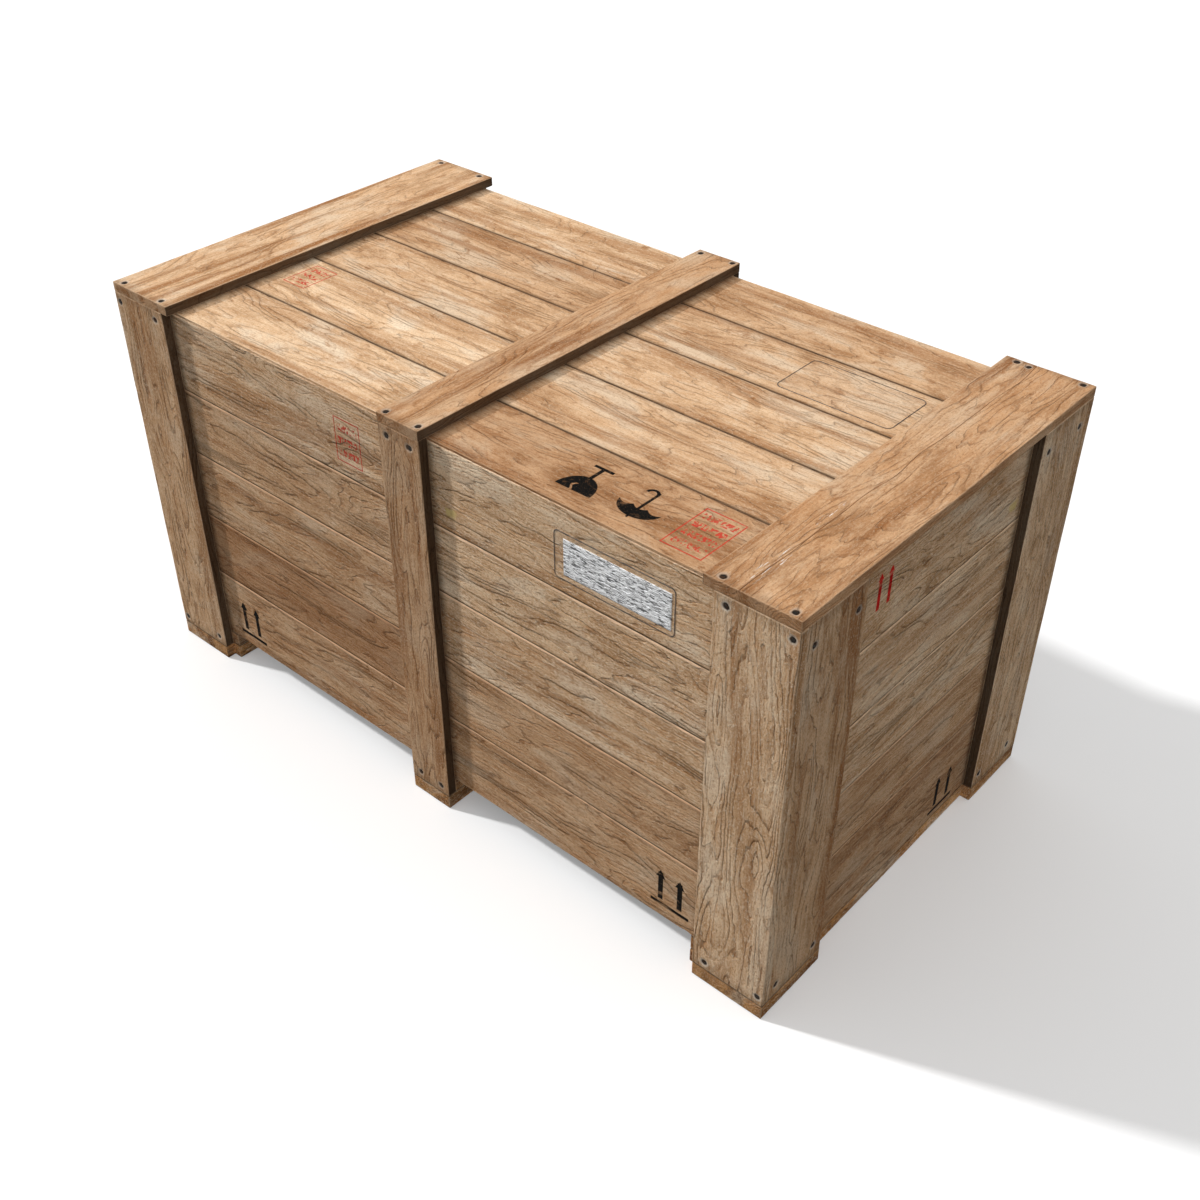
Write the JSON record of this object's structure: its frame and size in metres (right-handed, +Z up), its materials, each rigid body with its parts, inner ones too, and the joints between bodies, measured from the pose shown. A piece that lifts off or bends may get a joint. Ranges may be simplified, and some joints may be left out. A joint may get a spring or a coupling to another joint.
{
  "type": "shipping crate",
  "caption": "Nailed timber shipping crate on runners, with battened board walls and a battened lid that lifts straight off.",
  "frame": {"origin": "on the floor under the middle of the crate", "axes": "+X along the crate's length, -Y out of the front wall with the packing label, +Z up"},
  "size_m": [1.2, 0.644, 0.6375],
  "materials": {
    "board_wood": "weathered sawn softwood",
    "batten_wood": "weathered sawn softwood",
    "runner_wood": "dark oiled sawn timber",
    "nail_steel": "dulled wire nail",
    "label_foil": "crumpled foil card",
    "pouch_film": "clear adhesive film"
  },
  "bodies": {
    "crate": {"back_board_1": "board_wood", "back_board_2": "board_wood", "back_board_3": "board_wood", "back_board_4": "board_wood", "back_board_5": "board_wood", "back_left_batten": "batten_wood", "back_middle_batten": "batten_wood", "back_right_batten": "batten_wood", "end_batten_nails": "nail_steel", "floor_board_1": "board_wood", "floor_board_2": "board_wood", "floor_board_3": "board_wood", "floor_board_4": "board_wood", "floor_board_5": "board_wood", "floor_nails": "nail_steel", "front_board_1": "board_wood", "front_board_2": "board_wood", "front_board_3": "board_wood", "front_board_4": "board_wood", "front_board_5": "board_wood", "front_left_batten": "batten_wood", "front_middle_batten": "batten_wood", "front_right_batten": "batten_wood", "label_card": "label_foil", "label_pouch": "pouch_film", "left_bearer": "board_wood", "left_end_back_batten": "batten_wood", "left_end_board_1": "board_wood", "left_end_board_2": "board_wood", "left_end_board_3": "board_wood", "left_end_board_4": "board_wood", "left_end_board_5": "board_wood", "left_end_front_batten": "batten_wood", "left_runner": "runner_wood", "middle_bearer": "board_wood", "middle_runner": "runner_wood", "right_bearer": "board_wood", "right_end_back_batten": "batten_wood", "right_end_board_1": "board_wood", "right_end_board_2": "board_wood", "right_end_board_3": "board_wood", "right_end_board_4": "board_wood", "right_end_board_5": "board_wood", "right_end_front_batten": "batten_wood", "right_runner": "runner_wood", "runner_nails": "nail_steel", "side_batten_nails": "nail_steel", "wall_board_nails": "nail_steel"},
    "lid": {"lid_batten_nails": "nail_steel", "lid_board_1": "board_wood", "lid_board_2": "board_wood", "lid_board_3": "board_wood", "lid_board_4": "board_wood", "lid_board_5": "board_wood", "lid_board_nails": "nail_steel", "lid_left_batten": "batten_wood", "lid_middle_batten": "batten_wood", "lid_pouch": "pouch_film", "lid_right_batten": "batten_wood"}
  },
  "joints": [
    {"name": "lid_lift", "type": "slide", "parent": "crate", "child": "lid", "axis": [0, 0, 1], "range_m": [0, 0.3]}
  ]
}
